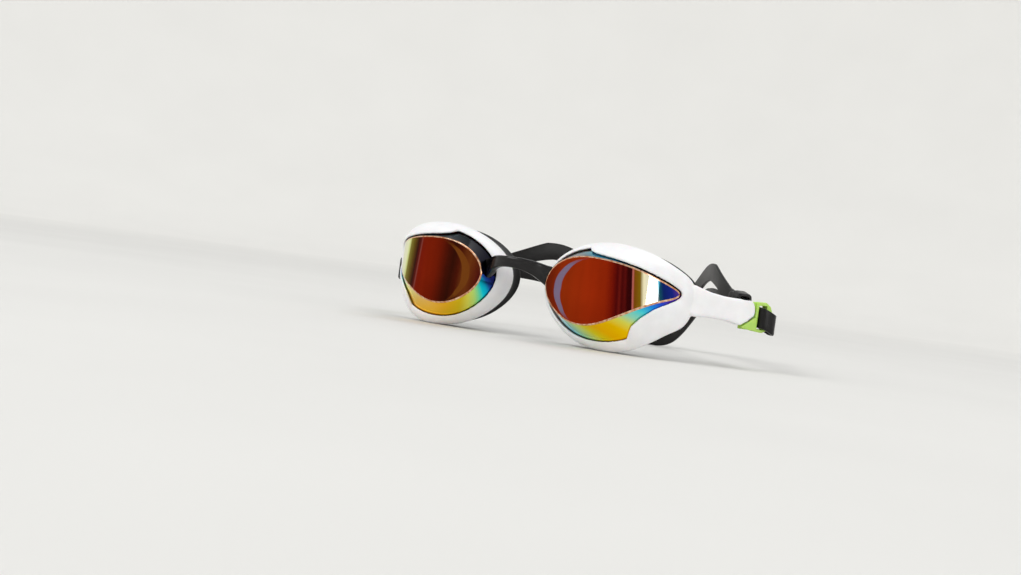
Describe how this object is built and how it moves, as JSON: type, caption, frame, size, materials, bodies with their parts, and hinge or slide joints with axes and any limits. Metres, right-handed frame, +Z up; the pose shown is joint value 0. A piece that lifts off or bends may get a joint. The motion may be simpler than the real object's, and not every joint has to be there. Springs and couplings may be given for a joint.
{
  "type": "swim goggles",
  "caption": "Swim goggles with two wraparound lenses, swept frames, silicone seals, a nose bridge and a split strap on pivoting clips.",
  "frame": {"origin": "bottom centre of the overall box, on the surface the goggles stand on", "axes": "+X to the wearer's left along the length, lenses face -Y, +Z up"},
  "size_m": [0.1784, 0.136, 0.0417],
  "materials": {
    "lens": "mirror coated polycarbonate, orange with gold and blue interference colours",
    "frame": "satin moulded plastic, white",
    "seal": "soft satin silicone, black",
    "bridge": "polished flexible plastic, black",
    "clip": "satin moulded plastic, lime green",
    "pin": "drawn stainless wire",
    "strap": "moulded silicone, black",
    "keeper": "moulded silicone, black"
  },
  "bodies": {
    "bridge": {"nose_bridge": "bridge", "strap": "strap"},
    "left_eye": {"left_lens": "lens", "left_frame": "frame", "left_seal": "seal", "left_clip_pin": "pin"},
    "left_clip": {"left_clip": "clip"},
    "left_keeper": {"left_strap_keeper": "keeper"},
    "right_eye": {"right_lens": "lens", "right_frame": "frame", "right_seal": "seal", "right_clip_pin": "pin"},
    "right_clip": {"right_clip": "clip"},
    "right_keeper": {"right_strap_keeper": "keeper"}
  },
  "joints": [
    {"name": "left_eye_flex", "type": "hinge", "parent": "bridge", "child": "left_eye", "pos_m": [0.01329, -0.05902, 0.02263], "axis": [0, 0, 1], "range_deg": [-6, 6], "stiffness_Nm_per_rad": 0.2, "deforming": ["strap"]},
    {"name": "left_clip_pivot", "type": "hinge", "parent": "left_eye", "child": "left_clip", "pos_m": [0.0792, -0.01715, 0.02106], "axis": [0, 0, 1], "range_deg": [-3, 45], "deforming": ["strap"]},
    {"name": "left_keeper_slide", "type": "slide", "parent": "left_eye", "child": "left_keeper", "axis": [-0.7054, 0.6812, 0.1961], "range_m": [-0.004, 0.006], "deforming": ["strap"]},
    {"name": "right_eye_flex", "type": "hinge", "parent": "bridge", "child": "right_eye", "pos_m": [-0.01329, -0.05902, 0.02263], "axis": [0, 0, -1], "range_deg": [-6, 6], "stiffness_Nm_per_rad": 0.2, "deforming": ["strap"]},
    {"name": "right_clip_pivot", "type": "hinge", "parent": "right_eye", "child": "right_clip", "pos_m": [-0.0792, -0.01715, 0.02106], "axis": [0, 0, -1], "range_deg": [-3, 45], "deforming": ["strap"]},
    {"name": "right_keeper_slide", "type": "slide", "parent": "right_eye", "child": "right_keeper", "axis": [0.7054, 0.6812, 0.1961], "range_m": [-0.004, 0.006], "deforming": ["strap"]}
  ]
}
